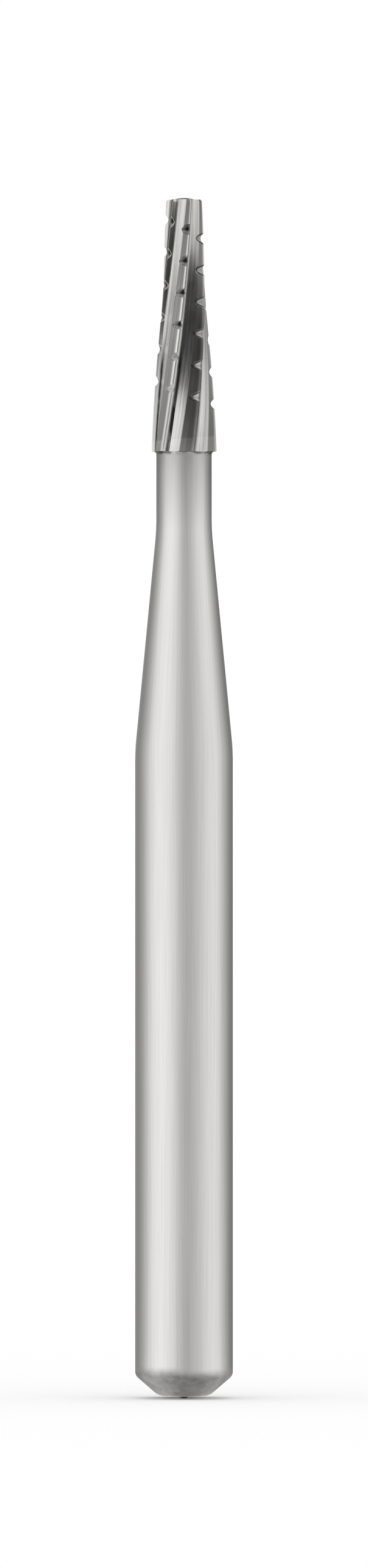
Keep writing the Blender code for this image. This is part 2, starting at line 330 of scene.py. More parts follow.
# These find how deep the blade's nearest crosscut is at this height. Its floor then cuts down whatever
# of the tooth stands above it.
NOTCH_FORMULAS = (
    ("below first", "SUBTRACT", "below tip", "First notch"),
    ("below own first", "ADD", "below first", "notch shift"),
    ("notches passed", "DIVIDE", "below own first", "Notch pitch"),
    ("nearest notch", "ROUND", "notches passed"),
    ("last notch", "SUBTRACT", "Notches", 1.0),
    ("held notch", "MINIMUM", "nearest notch", "last notch"),
    ("notch", "MAXIMUM", "held notch", 0.0),
    ("notch middle", "MULTIPLY", "notch", "Notch pitch"),
    ("off middle", "SUBTRACT", "below own first", "notch middle"),
    ("half width", "MULTIPLY", "Notch width", 0.5),
    ("off share", "DIVIDE", "off middle", "half width"),
    ("off square", "MULTIPLY", "off share", "off share"),
    ("bowl", "SUBTRACT", 1.0, "off square"),
    ("open bowl", "MAXIMUM", "bowl", 0.0),
    ("scallop", "POWER", "open bowl", SCALLOP_POWER),
    ("depth", "MULTIPLY", "scallop", "Notch depth"),
    ("spread", "SUBTRACT", "Base radius", "Tip radius"),
    ("radius", "MULTIPLY_ADD", "share", "spread", "Tip radius"),
    ("lean", "TANGENT", "Rake"),
    ("set back", "MULTIPLY", "depth", "lean"),
    ("past edge", "SUBTRACT", "across", "set back"),
    ("fall change", "SUBTRACT", "Base notch fall", "Tip notch fall"),
    ("fall", "MULTIPLY_ADD", "share", "fall change", "Tip notch fall"),
    ("floor slope", "TANGENT", "fall"),
    ("floor at edge", "SUBTRACT", "radius", "depth"),
    ("floor", "MULTIPLY_ADD", "past edge", "floor slope", "floor at edge"),
    ("above floor", "SUBTRACT", "along", "floor"),
    ("above share", "DIVIDE", "above floor", "Notch depth"),
    ("inside", "MINIMUM", "above share", "bowl"),
    ("rounded", "SMOOTH_MIN", "along", "floor", NOTCH_ROUNDING),
    ("in notch", "GREATER_THAN", "depth", 0.0),
    ("change", "SUBTRACT", "rounded", "along"),
    ("cut along", "MULTIPLY_ADD", "in notch", "change", "along"),
    ("taken off", "SUBTRACT", "along", "cut along"),
    ("crosscut", "DIVIDE", "taken off", "Notch depth"),
    ("lower", "MULTIPLY", "crosscut", "off share"),
    ("root points off", "SUBTRACT", "point", CREASE_POINT),
    ("root points away", "ABSOLUTE", "root points off"),
    ("root share", "DIVIDE", "root points away", CREASE_HALF_WIDTH),
    ("crease", "SUBTRACT", 1.0, "root share"),
    ("edge points off", "SUBTRACT", "point", MARGIN_POINT),
    ("edge points away", "ABSOLUTE", "edge points off"),
    ("edge share", "DIVIDE", "edge points away", MARGIN_HALF_WIDTH),
    ("margin", "SUBTRACT", 1.0, "edge share"),
)
# These turn the section to its blade's place on the helix.
HELIX_FORMULAS = (
    ("blade angle", "DIVIDE", 2 * math.pi, "Blades"),
    ("turn", "MULTIPLY", "Helix", "below tip"),
    ("twist", "SUBTRACT", "Tip angle", "turn"),
    ("angle", "MULTIPLY_ADD", "blade", "blade angle", "twist"),
    ("sine", "SINE", "angle"),
    ("cosine", "COSINE", "angle"),
    ("along x", "MULTIPLY", "cut along", "sine"),
    ("x", "MULTIPLY_ADD", "across", "cosine", "along x"),
    ("across y", "MULTIPLY", "across", "sine"),
    ("along y", "MULTIPLY", "cut along", "cosine"),
    ("y", "SUBTRACT", "across y", "along y"),
)


def work_out(tree, values, formulas):
    """Adds the nodes for a list of formulas and keeps each result under its name. LINEAR and SMOOTHSTEP
    take a value, the ends of its range and what they turn to, if not 0 and 1. The rest are plain maths."""
    for result, operation, *terms in formulas:
        links = {i: values[term] if isinstance(term, str) else term for i, term in enumerate(terms)}
        if operation in ("LINEAR", "SMOOTHSTEP"):
            made = add_node(tree, "ShaderNodeMapRange", links, interpolation_type=operation)
        else:
            made = add_node(tree, "ShaderNodeMath", links, operation=operation)
        values[result] = made


def fluted_tree():
    """Lays the tooth stencil round the axis on a helix and cuts the staggered crosscuts."""
    tree = bpy.data.node_groups.new("Fluted head", "GeometryNodeTree")
    sockets = {}
    for kind, names in FLUTED_INPUTS.items():
        for name in names:
            socket = tree.interface.new_socket(name, in_out="INPUT", socket_type="NodeSocket" + kind)
            sockets[name] = socket.identifier
    tree.interface.new_socket("Head", in_out="OUTPUT", socket_type="NodeSocketGeometry")
    given = add_node(tree, "NodeGroupInput").outputs
    values = {name: given[name] for name in sockets}
    values["number"] = add_node(tree, "GeometryNodeInputIndex")
    work_out(tree, values, PLACE_FORMULAS)

    # The tooth's section at this height, mixed from the two nearest rows of the stencil
    place = add_node(tree, "GeometryNodeInputPosition")
    shift = add_node(tree, "GeometryNodeInputNamedAttribute", {"Name": "notch_shift"}, data_type="FLOAT")
    for name, source, index, kind in (
        ("first section", place, "first index", "FLOAT_VECTOR"),
        ("second section", place, "second index", "FLOAT_VECTOR"),
        ("notch shift", shift, "own blade", "FLOAT"),
    ):
        links = {"Geometry": given["Stencil"], "Value": source, "Index": values[index]}
        values[name] = add_node(tree, "GeometryNodeSampleIndex", links, data_type=kind)
    links = {0: values["row mix"], A_VECTOR: values["first section"], B_VECTOR: values["second section"]}
    mixed = add_node(tree, "ShaderNodeMix", links, data_type="VECTOR", clamp_factor=False)
    section = add_node(tree, "ShaderNodeSeparateXYZ", {0: mixed}).outputs
    values["along"], values["across"], values["land"] = section
    work_out(tree, values, NOTCH_FORMULAS)
    work_out(tree, values, HELIX_FORMULAS)

    position = add_node(tree, "ShaderNodeCombineXYZ", {0: values["x"], 1: values["y"], 2: values["height"]})
    grid = add_node(
        tree, "GeometryNodeMeshGrid", {"Vertices X": given["Rows"], "Vertices Y": values["columns"]}
    )
    marked = add_node(tree, "GeometryNodeSetPosition", {"Geometry": grid, "Position": position})
    for name in (*MARKS, "point"):
        links = {"Geometry": marked, "Name": name, "Value": values[name]}
        marked = add_node(
            tree, "GeometryNodeStoreNamedAttribute", links, data_type="FLOAT", domain="POINT"
        )
    closed = add_node(tree, "GeometryNodeMergeByDistance", {"Geometry": marked, "Distance": MERGE_DISTANCE})
    real = add_node(tree, "GeometryNodeRealizeInstances", {"Geometry": closed})
    finished = add_node(tree, "GeometryNodeSetMaterial", {"Geometry": real, "Material": given["Material"]})
    add_node(tree, "NodeGroupOutput", {"Head": finished})
    return tree, sockets


def fluted_mesh(head, material):
    """The fluted surface from below the tip's bevel down to the head's base, open at both ends."""
    tree, sockets = fluted_tree()
    stencil = stencil_object(head)
    modifier = stencil.modifiers.new("Fluted head", "NODES")
    modifier.node_group = tree
    values = {
        "Rows": HEAD_ROWS,
        "Stencil rows": STENCIL_ROWS,
        "Tooth points": TOOTH_POINTS,
        "Top": head.tip_height - head.bevel_height,
        "Base": base_height(head),
        "Tip radius": head.tip_diameter / 2,
        "Base radius": head.base_diameter / 2,
        "Helix": math.radians(head.helix) / MM,
        "Material": material,
    }
    # The other inputs are the settings of the same name
    for name in (*FLUTED_INPUTS["Int"], *FLUTED_INPUTS["Float"]):
        if name not in values:
            values[name] = getattr(head, name.lower().replace(" ", "_"))
    for name, value in values.items():
        modifier[sockets[name]] = value
    graph = bpy.context.evaluated_depsgraph_get()
    data = bpy.data.meshes.new_from_object(stencil.evaluated_get(graph), depsgraph=graph)
    bpy.data.objects.remove(stencil, do_unlink=True)
    mesh = bmesh.new()
    mesh.from_mesh(data)
    bpy.data.meshes.remove(data)
    return mesh


# An open rim's points lie this close to one height, and points this close to the braze plane lie on it
RIM_TOLERANCE = 0.02 * MM
PLANE_TOLERANCE = 1e-9


def rim(mesh, highest):
    """The points of the highest or lowest open rim, in order and counterclockwise from above."""
    edges = [edge for edge in mesh.edges if edge.is_boundary]
    heights = [edge.verts[0].co.z for edge in edges]
    level = max(heights) if highest else min(heights)
    after = {}
    for edge in edges:
        if abs(edge.verts[0].co.z - level) < RIM_TOLERANCE:
            for vertex in edge.verts:
                after.setdefault(vertex, []).append(edge.other_vert(vertex))
    first = next(iter(after))
    ring = [first]
    while len(ring) < len(after):
        ring.append(next(v for v in after[ring[-1]] if v not in ring[-2:]))
    turn = ring[0].co.to_2d().angle_signed(ring[1].co.to_2d())
    return ring[::-1] if turn > 0 else ring


def add_ring(mesh, lower, points):
    """Joins a new ring of points on to this ring, and returns it."""
    upper = [mesh.verts.new(point, below) for point, below in zip(points, lower)]
    for i in range(len(lower)):
        j = (i + 1) % len(lower)
        mesh.faces.new((lower[i], lower[j], upper[j], upper[i]))
    return upper


def close_ring(mesh, ring, middle):
    centre = mesh.verts.new(middle)
    for i in range(len(ring)):
        mesh.faces.new((ring[i], ring[(i + 1) % len(ring)], centre))


def cut_at_joint(mesh, head, keep_above):
    """Cuts the mesh at the braze plane, keeps one side and closes it."""
    point = Vector((0.0, 0.0, base_height(head) + head.joint_height))
    normal = Vector((-math.sin(head.joint_tilt), 0.0, math.cos(head.joint_tilt)))
    geometry = [*mesh.verts, *mesh.edges, *mesh.faces]
    made = bmesh.ops.bisect_plane(
        mesh, geom=geometry, dist=PLANE_TOLERANCE, plane_co=point, plane_no=normal,
        clear_inner=keep_above, clear_outer=not keep_above,
    )
    edges = [item for item in made["geom_cut"] if isinstance(item, bmesh.types.BMEdge)]
    bmesh.ops.holes_fill(mesh, edges=edges, sides=0)


SHARP_ANGLE = math.radians(50)
# The lands' rear borders are left smooth where a crosscut is deeper than this share of its depth
SMOOTH_CROSSCUT = 0.02


def sharpen_teeth(mesh):
    """Keeps the cutting edges and the rear borders of the lands crisp, also where they are shallow."""
    layer = mesh.verts.layers.float["point"]
    crosscut = mesh.verts.layers.float["crosscut"]
    for edge in mesh.edges:
        first, second = edge.verts
        if first[layer] != second[layer] or first[layer] not in SHARP_POINTS:
            continue
        if first[layer] == SHARP_POINTS[0] and max(first[crosscut], second[crosscut]) > SMOOTH_CROSSCUT:
            continue
        edge.smooth = False


def new_object(name, mesh, material):
    data = bpy.data.meshes.new(name)
    mesh.to_mesh(data)
    mesh.free()
    data.materials.clear()
    data.materials.append(material)
    made = bpy.data.objects.new(name, data)
    bpy.context.collection.objects.link(made)
    return made


def finish_piece(name, mesh, node, material):
    """Smooths the faces apart from sharp edges, and puts the piece in the place of its node."""
    bmesh.ops.recalc_face_normals(mesh, faces=mesh.faces)
    for edge in mesh.edges:
        edge.smooth = len(edge.link_faces) == 2 and edge.calc_face_angle() < SHARP_ANGLE
    for face in mesh.faces:
        face.smooth = True
    sharpen_teeth(mesh)
    piece = new_object(name, mesh, material)
    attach(piece, "root")
    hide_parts(node)


# Rings of the dome, as shares of its radius
DOME_SHARES = (1.0, 0.92, 0.8, 0.62, 0.42, 0.2)


def close_tip(mesh, head):
    """The bevel round the blades' ends and the low dome inside them."""
    ring = rim(mesh, highest=True)
    shrink = 1 - head.bevel_width / (head.tip_diameter / 2)
    end = [Vector((v.co.x * shrink, v.co.y * shrink, head.tip_height)) for v in ring]
    ring = add_ring(mesh, ring, end)
    dome_height = BUR_TOP - head.tip_height
    for share in DOME_SHARES:
        points = []
        for point in end:
            scale = share * head.dome_radius / point.to_2d().length
            height = head.tip_height + dome_height * (1 - share**2)
            points.append((point.x * scale, point.y * scale, height))
        ring = add_ring(mesh, ring, points)
    close_ring(mesh, ring, (0.0, 0.0, BUR_TOP))


# Points on each fillet of the head's underside, and of the turned outline
UNDERSIDE_STEPS, TURNING_STEPS = 10, 14


def underside_path(head, shank, radius):
    """Down the head's underside and its fillet from this radius to the neck: (radius, height) points."""
    base = base_height(head)
    neck = shank.neck_diameter / 2
    corner = base - shank.underside_rise
    corners = (
        (head.base_diameter / 2, base, 0.0),
        (neck, corner, shank.underside_fillet),
        (neck, corner - shank.underside_depth, 0.0),
    )
    outline = filleted(corners, UNDERSIDE_STEPS)
    radius = max(radius, neck)
    while len(outline) > 2 and outline[1][0] >= radius:
        outline.pop(0)
    (r0, z0), (r1, z1) = outline[:2]
    if r0 > r1:
        outline[0] = radius, lerp(z0, z1, (r0 - radius) / (r0 - r1))
    lengths = [0.0]
    for (r0, z0), (r1, z1) in zip(outline, outline[1:]):
        lengths.append(lengths[-1] + math.hypot(r1 - r0, z1 - z0))
    path = []
    for step in range(UNDERSIDE_STEPS + 1):
        reach = lengths[-1] * step / UNDERSIDE_STEPS
        index = max(i for i in range(len(outline) - 1) if lengths[i] <= reach)
        share = (reach - lengths[index]) / (lengths[index + 1] - lengths[index])
        path.append(between(outline[index], outline[index + 1], share))
    return path


# How far below the head's base the turned outline ends
NECK_START = 0.35 * MM


def shank_outline(head, shank):
    """The turned outline from the nub at the shank's end to just below the head."""
    radius, neck = shank.diameter / 2, shank.neck_diameter / 2
    face = shank.nub_height + shank.end_dish
    chamfer_top = face + shank.chamfer_width * math.tan(shank.chamfer_angle)
    corners = (
        (shank.nub_tip, shank.nub_rise, 0.0),
        (shank.nub_radius, shank.nub_height, shank.nub_fillet),
        (radius - shank.chamfer_width, face, shank.chamfer_inner),
        (radius, chamfer_top, shank.chamfer_outer),
        (radius, shank.length, shank.cone_blend),
        (neck, shank.length + shank.cone, shank.cone_blend),
        (neck, base_height(head) - NECK_START, 0.0),
    )
    return filleted(corners, TURNING_STEPS)


def add_shank_rings(mesh, head, shank):
    """The underside, the neck, the cone and the plain shank, from the head's base down to the nub."""
    ring = rim(mesh, highest=False)[::-1]
    paths = []
    for vertex in ring:
        x, y, _ = vertex.co
        radius = math.hypot(x, y)
        paths.append([(x * r / radius, y * r / radius, z) for r, z in underside_path(head, shank, radius)])
    for points in list(zip(*paths))[1:]:
        ring = add_ring(mesh, ring, points)
    step = -2 * math.pi / len(ring)
    angles = [math.atan2(vertex.co.y, vertex.co.x) for vertex in ring]
    leads = [(angle - angles[0]) % (-2 * math.pi) - index * step for index, angle in enumerate(angles)]
    start = angles[0] + sum(leads) / len(ring)
    for r, z in reversed(shank_outline(head, shank)):
        points = [(*turned((r, 0.0), start + index * step), z) for index in range(len(ring))]
        ring = add_ring(mesh, ring, points)
    close_ring(mesh, ring, (0.0, 0.0, 0.0))


# Where the painted shade in the roots starts and is full, as shares of the head's length, how strong the
# painted shade in the crosscuts is, and how much duller than the backs the lands and the crosscuts are
CREASE_SHADE_STARTS, CREASE_SHADE_FULL = 0.52, 0.68
CROSSCUT_SHADE = 1.15
LAND_DULLNESS, CROSSCUT_DULLNESS = 0.07, 0.40
# How far down the neck the painted shade under the head reaches
UNDER_HEAD_SHADE_REACH = 1.3 * MM

# How a ground tooth's shade, painted shade and roughness follow from its marks, its place and the noises on
# it
TOOTH_FORMULAS = (
    # The lands show their lines less than the backs
    ("darkest", "LINEAR", "land", 0.0, 1.0, 0.60, 0.78),
    ("shade", "LINEAR", "lines", 0.32, 0.62, "darkest", 1.08),
    # The crosscuts' floors weren't ground with the lands
    ("own land", "LINEAR", "inside", 0.20, 0.45, "land", 0.0),
    # Painted highlight along each cutting edge
    ("edge highlight", "SMOOTHSTEP", "margin", 0.0, 0.7),
    # Painted shade fills a crease in the root, more and more from halfway down the head to its base, and is
    # darkest towards -X
    ("in crease", "SMOOTHSTEP", "crease", 0.0, 0.6),
    ("low down", "SMOOTHSTEP", "height", "crease shade start", "crease shade full"),
    ("low in crease", "MULTIPLY", "in crease", "low down"),
    ("unevenness", "LINEAR", "patches", 0.40, 0.52, 0.70, 1.0),
    ("patchy crease", "MULTIPLY", "low in crease", "unevenness"),
    ("left side", "LINEAR", "sideways", 0.15 * MM, -0.05 * MM, 0.1, 1.0),
    ("root shade", "MULTIPLY", "patchy crease", "left side"),
    # Painted shade lies in the crosscuts that don't face +X, the most on their upper sides and in the upper
    # ones
    ("upper sides", "MULTIPLY_ADD", "lower", -0.8, "crosscut"),
    ("not right side", "LINEAR", "left side", 0.1, 0.5, 0.15, 1.0),
    ("shaded upper sides", "MULTIPLY", "upper sides", "not right side"),
    ("higher up", "LINEAR", "low down", 0.0, 1.0, 1.0, 0.2),
    ("crosscut shade", "MULTIPLY", "shaded upper sides", "higher up"),
    # Towards +X painted shade lies along the crosscuts' rims and in their shallow ends instead
    ("past rim", "LINEAR", "inside", -0.2, -0.1),
    ("shallow", "LINEAR", "inside", 0.2, 0.5, 1.0, 0.0),
    ("rims", "MULTIPLY", "past rim", "shallow"),
    ("right side", "LINEAR", "left side", 0.1, 1.0, 0.85, 0.0),
    ("rim shade", "MULTIPLY", "rims", "right side"),
    ("painted_shade", "MAXIMUM", "root shade", "rim shade"),
    ("painted darkness", "MULTIPLY_ADD", "crosscut shade", CROSSCUT_SHADE, "painted_shade"),
    ("wear", "LINEAR", "patches", 0.3, 0.7, 0.20, 0.30),
    ("land wear", "MULTIPLY_ADD", "land", LAND_DULLNESS, "wear"),
    ("roughness", "MULTIPLY_ADD", "crosscut", CROSSCUT_DULLNESS, "land wear"),
)
# The same for the steel's turned faces
STEEL_FORMULAS = (
    ("shade", "LINEAR", "lines", 0.3, 0.7, 0.93, 1.03),
    # The tumbled end reaches up about 0.46 mm, give or take 0.05 mm
    ("uneven height", "MULTIPLY_ADD", "wandering", 0.30 * MM, "height"),
    ("at end", "SMOOTHSTEP", "uneven height", 0.52 * MM, 0.70 * MM, 1.0, 0.0),
    ("smudge shade", "LINEAR", "smudges", 0.35, 0.62, 0.72, 1.05),
    ("turned roughness", "LINEAR", "at end", 0.0, 1.0, 0.26, 0.55),
    # The neck is darker towards the head: painted shade under the head's overhang
    ("above base", "SUBTRACT", "height", "base"),
    ("under head shade", "LINEAR", "above base", -UNDER_HEAD_SHADE_REACH, 0.0, 1.0, 0.66),
    # Patchy painted shade lies in the corner under the head
    ("in corner", "SMOOTHSTEP", "above base", -0.075 * MM, -0.020 * MM),
    ("patchy", "LINEAR", "smudges", 0.40, 0.60, 0.0, 0.85),
    ("painted_shade", "MULTIPLY", "in corner", "patchy"),
    ("on stub", "LINEAR", "above base", -0.012 * MM, -0.004 * MM),
)


def new_material(name):
    material = bpy.data.materials.new(name)
    material.use_nodes = True
    material.node_tree.nodes.clear()
    return material, material.node_tree


def ground_teeth(tree, finish, head, back_colour, land_colour):
    """The look of the fluted surface, for whichever metal was ground: straight lines along the flutes,
    duller lands, a painted highlight along each cutting edge, and painted shade in the roots and
    crosscuts. Returns its colour, roughness and lines."""
    values = {
        "crease shade start": head.tip_height - CREASE_SHADE_STARTS * head.length,
        "crease shade full": head.tip_height - CREASE_SHADE_FULL * head.length,
    }
    for name in MARKS:
        values[name] = add_node(tree, "ShaderNodeAttribute", attribute_name=name).outputs["Fac"]
    place = add_node(tree, "ShaderNodeTexCoord").outputs["Object"]
    values["sideways"], _, values["height"] = add_node(tree, "ShaderNodeSeparateXYZ", {0: place}).outputs
    untwist = -math.radians(head.helix) / MM
    turn = add_node(tree, "ShaderNodeMath", {0: values["height"], 1: untwist}, operation="MULTIPLY")
    along_flutes = add_node(
        tree, "ShaderNodeVectorRotate", {"Vector": place, "Angle": turn}, rotation_type="Z_AXIS"
    )
    down_columns = add_node(tree, "ShaderNodeCombineXYZ", {0: values["column"], 2: values["height"]})
    # Grinding lines 3 mm long and two or three of the stencil's points wide, which is 0.02 mm at the tip
    # and 0.04 mm at the base, and uneven patches 0.2 mm across and 0.6 mm long
    for name, followed, scale, detail, roughness in (
        ("lines", down_columns, (0.42, 1.0, 330.0), 2.0, 0.5),
        ("patches", along_flutes, (6000.0, 6000.0, 1800.0), 4.0, 0.6),
    ):
        stretched = add_node(tree, "ShaderNodeMapping", {"Vector": followed, "Scale": scale})
        links = {"Vector": stretched, "Scale": 1.0, "Detail": detail, "Roughness": roughness}
        values[name] = add_node(tree, "ShaderNodeTexNoise", links)
    work_out(tree, values, TOOTH_FORMULAS)
    shown = (*back_colour, 1.0)
    # The lands get their own colour, and a painted highlight lies along each cutting edge
    for share, laid_on in (("own land", land_colour), ("edge highlight", finish.edge)):
        links = {0: values[share], A_COLOUR: shown, B_COLOUR: (*laid_on, 1.0)}
        shown = add_node(tree, "ShaderNodeMix", links, data_type="RGBA")
    links = {0: shown, "Scale": values["shade"]}
    streaked = add_node(tree, "ShaderNodeVectorMath", links, operation="SCALE")
    # Painted shade laid over the streaked colour in the roots, crosscuts and rims
    links = {0: values["painted darkness"], A_COLOUR: streaked, B_COLOUR: (*finish.painted_shade, 1.0)}
    shaded_colour = add_node(tree, "ShaderNodeMix", links, data_type="RGBA")
    return shaded_colour, values["roughness"], values["lines"]


def satin_metal(tree, shown, roughness, lines, line_height, smear):
    """Metal under fine lines along the bur, which smear each reflection round it."""
    bump = add_node(tree, "ShaderNodeBump", {"Height": lines, "Distance": line_height, "Strength": 1.0})
    around = add_node(tree, "ShaderNodeTangent", direction_type="RADIAL", axis="Z")
    links = {
        "Base Color": shown,
        "Metallic": 1.0,
        "Roughness": roughness,
        "Anisotropic": smear,
        "Normal": bump,
        "Tangent": around,
    }
    shader = add_node(tree, "ShaderNodeBsdfPrincipled", links)
    add_node(tree, "ShaderNodeOutputMaterial", {"Surface": shader})


def ground_carbide(finish, head):
    """Cemented carbide cut with a fine diamond wheel: dark satin metal whose grinding lines smear each
    reflection across the flutes, so that every face is evenly bright or dark along its length."""
    material, tree = new_material("Ground cemented carbide")
    look = ground_teeth(tree, finish, head, finish.carbide, finish.carbide_land)
    satin_metal(tree, *look, line_height=0.0013 * MM, smear=0.7)
    return material


def ground_steel(finish, head):
    """Stainless steel rod, ground and then polished lengthwise: bright satin metal with fine streaks. The
    tumbled end is duller and darker, with an uneven border and dark smudges, and the stub above the neck
    was ground together with the carbide."""
    material, tree = new_material("Ground stainless steel")
    place = add_node(tree, "ShaderNodeTexCoord").outputs["Object"]
    height = add_node(tree, "ShaderNodeSeparateXYZ", {0: place}).outputs["Z"]
    values = {"height": height, "base": base_height(head)}
    # Lines that run straight down the cone too: 30 to a radius round the bur, which makes them 0.03 mm wide
    # on the shank, and 2 mm long
    flat = add_node(tree, "ShaderNodeVectorMath", {0: place, 1: (1.0, 1.0, 0.0)}, operation="MULTIPLY")
    spoke = add_node(tree, "ShaderNodeVectorMath", {0: flat}, operation="NORMALIZE")
    lengthwise = add_node(tree, "ShaderNodeMapping", {"Vector": place, "Scale": (0.0, 0.0, 520.0)})
    links = {0: spoke, 1: (30.0, 30.0, 30.0), 2: lengthwise}
    down_side = add_node(tree, "ShaderNodeVectorMath", links, operation="MULTIPLY_ADD")
    # The wandering border of the tumbled end, and smudges 0.2 mm across with finer mottling in them
    for name, followed, scale, detail, roughness in (
        ("lines", down_side, 1.0, 4.0, 0.6),
        ("wandering", place, 800.0, 5.0, 0.5),
        ("smudges", place, 5000.0, 6.0, 0.6),
    ):
        links = {"Vector": followed, "Scale": scale, "Detail": detail, "Roughness": roughness}
        values[name] = add_node(tree, "ShaderNodeTexNoise", links)
    work_out(tree, values, STEEL_FORMULAS)
    polished, tumbled = (
        add_node(tree, "ShaderNodeVectorMath", {0: metal, "Scale": values[shade]}, operation="SCALE")
        for metal, shade in ((finish.steel, "shade"), (finish.steel_end, "smudge shade"))
    )
    links = {0: values["at end"], A_COLOUR: polished, B_COLOUR: tumbled}
    rod = add_node(tree, "ShaderNodeMix", links, data_type="RGBA")
    # Painted shade: darker towards the head, and patchy dark in the corner under it
    shaded_rod = add_node(tree, "ShaderNodeVectorMath", {0: rod, "Scale": values["under head shade"]}, operation="SCALE")
    links = {0: values["painted_shade"], A_COLOUR: shaded_rod, B_COLOUR: (*finish.painted_shade, 1.0)}
    neck = add_node(tree, "ShaderNodeMix", links, data_type="RGBA")
    stub, stub_roughness, stub_lines = ground_teeth(tree, finish, head, finish.stub, finish.stub_land)
    links = {0: values["on stub"], A_COLOUR: neck, B_COLOUR: stub}
    shown = add_node(tree, "ShaderNodeMix", links, data_type="RGBA")
    roughness, lines = (
        add_node(tree, "ShaderNodeMix", {0: values["on stub"], A_NUMBER: a, B_NUMBER: b}, data_type="FLOAT")
        for a, b in ((values["turned roughness"], stub_roughness), (values["lines"], stub_lines))
    )
    satin_metal(tree, shown, roughness, lines, line_height=0.0006 * MM, smear=0.5)
    return material


def sweep_paper(finish):
    """Matt white background paper: no gloss, so it only carries the bur's soft shadow."""
    material, tree = new_material("White sweep paper")
    place = add_node(tree, "ShaderNodeTexCoord").outputs["Object"]
    grain = add_node(tree, "ShaderNodeTexNoise", {"Vector": place, "Scale": 3000.0, "Detail": 2.0})
    bump = add_node(tree, "ShaderNodeBump", {"Height": grain, "Distance": 0.001 * MM, "Strength": 0.2})
    shader = add_node(tree, "ShaderNodeBsdfDiffuse", {"Color": (*finish.sweep, 1.0), "Normal": bump})
    add_node(tree, "ShaderNodeOutputMaterial", {"Surface": shader})
    return material


# Grey panels of the light tent: (degrees from the camera towards +X, brightness)
TENT_PANELS = (
    (-180, 0.40), (-135, 0.29), (-108, 0.54), (-80, 1.17), (-55, 1.31), (-30, 1.15), (-12, 0.78),
    (3, 0.56), (16, 0.62), (34, 0.80), (58, 1.08), (84, 1.16), (102, 0.74), (130, 0.32), (150, 0.20),
    (180, 0.26),
)
TENT_HEIGHT, TENT_SIDES = 100.0 * MM, 96
# The tent's own floor lies this close to the paper and ends this close to the bur's axis
TENT_FLOOR_HEIGHT, TENT_FLOOR_START = 0.01 * MM, 0.08 * MM


def tent_cloth():
    """Translucent tent cloth, lit from outside: brighter before the lamps and grey where no lamp stands."""
    material, tree = new_material("Lit tent cloth")
    place = add_node(tree, "ShaderNodeTexCoord").outputs["Object"]
    # Radial gives the angle from +X, so a quarter turn puts the front, -Y, in the ramp's middle
    turn = add_node(tree, "ShaderNodeMapping", {"Vector": place, "Rotation": (0.0, 0.0, math.pi / 2)})
    angle = add_node(tree, "ShaderNodeTexGradient", {"Vector": turn}, gradient_type="RADIAL").outputs["Fac"]
    ramp = add_node(tree, "ShaderNodeValToRGB", {"Fac": angle})
    stops = ramp.color_ramp.elements
    while len(stops) > 1:
        stops.remove(stops[-1])
    top = max(level for _, level in TENT_PANELS)
    for index, (degrees_from_front, level) in enumerate(TENT_PANELS):
        place_on_ramp = (degrees_from_front + 180) / 360
        stop = stops[0] if index == 0 else stops.new(place_on_ramp)
        stop.position = place_on_ramp
        stop.color = (level / top,) * 3 + (1.0,)
    glow = add_node(tree, "ShaderNodeEmission", {"Color": ramp.outputs["Color"], "Strength": top})
    add_node(tree, "ShaderNodeOutputMaterial", {"Surface": glow})
    return material


def only_in_reflections(stage_object):
    stage_object.visible_camera = False
    stage_object.visible_diffuse = False
    stage_object.visible_shadow = False


def add_tent(stage):
    """A round tent with a floor and a wall, open at the top."""
    mesh = bmesh.new()
    ring = []
    for radius, z in (
        (TENT_FLOOR_START, TENT_FLOOR_HEIGHT),
        (stage.tent_radius, TENT_FLOOR_HEIGHT),
        (stage.tent_radius, TENT_HEIGHT),
    ):
        angles = [2 * math.pi * side / TENT_SIDES for side in range(TENT_SIDES)]
        points = [(*turned((radius, 0.0), angle), z) for angle in angles]
        ring = add_ring(mesh, ring, points) if ring else [mesh.verts.new(point) for point in points]
    only_in_reflections(new_object("light_tent", mesh, tent_cloth()))


# Three cards close round the head, which only the blades reflect, bent round the bur at this distance from
# its axis in steps of so many degrees. Their upright edges: degrees from the camera towards +X, and the
# lower and upper height in millimetres.
CARD_RADIUS, CARD_STEP = 6.0 * MM, 4
BLACK_EDGES = (
    (-34, 16.8, 19.5), (-8, 16.5, 19.8), (14, 16.3, 20.2), (30, 16.7, 20.0), (46, 17.1, 19.5),
    (62, 17.5, 19.5), (78, 18.1, 19.3),
)
RIGHT_WHITE_EDGES = (132, 15.9, 19.9), (180, 15.9, 19.9)
LEFT_WHITE_EDGES = (-160, 15.9, 18.7), (-104, 15.9, 18.7)


def card_surface(name, grain_scale, darkest, lightest):
    """A matt card as it looks in the light of the tent, a little uneven."""
    material, tree = new_material(name)
    place = add_node(tree, "ShaderNodeTexCoord").outputs["Object"]
    grain = add_node(tree, "ShaderNodeTexNoise", {"Vector": place, "Scale": grain_scale})
    level = add_node(tree, "ShaderNodeMapRange", {"Value": grain, "To Min": darkest, "To Max": lightest})
    glow = add_node(tree, "ShaderNodeEmission", {"Color": (1.0, 1.0, 1.0, 1.0), "Strength": level})
    add_node(tree, "ShaderNodeOutputMaterial", {"Surface": glow})
    return material


def black_velvet():
    """Black velvet: its pile sends next to no light back."""
    return card_surface("Black velvet", 2000.0, 0.02, 0.06)


def white_board():
    """White board: a bright patch in the reflections."""
    return card_surface("White reflector board", 500.0, 0.80, 0.95)


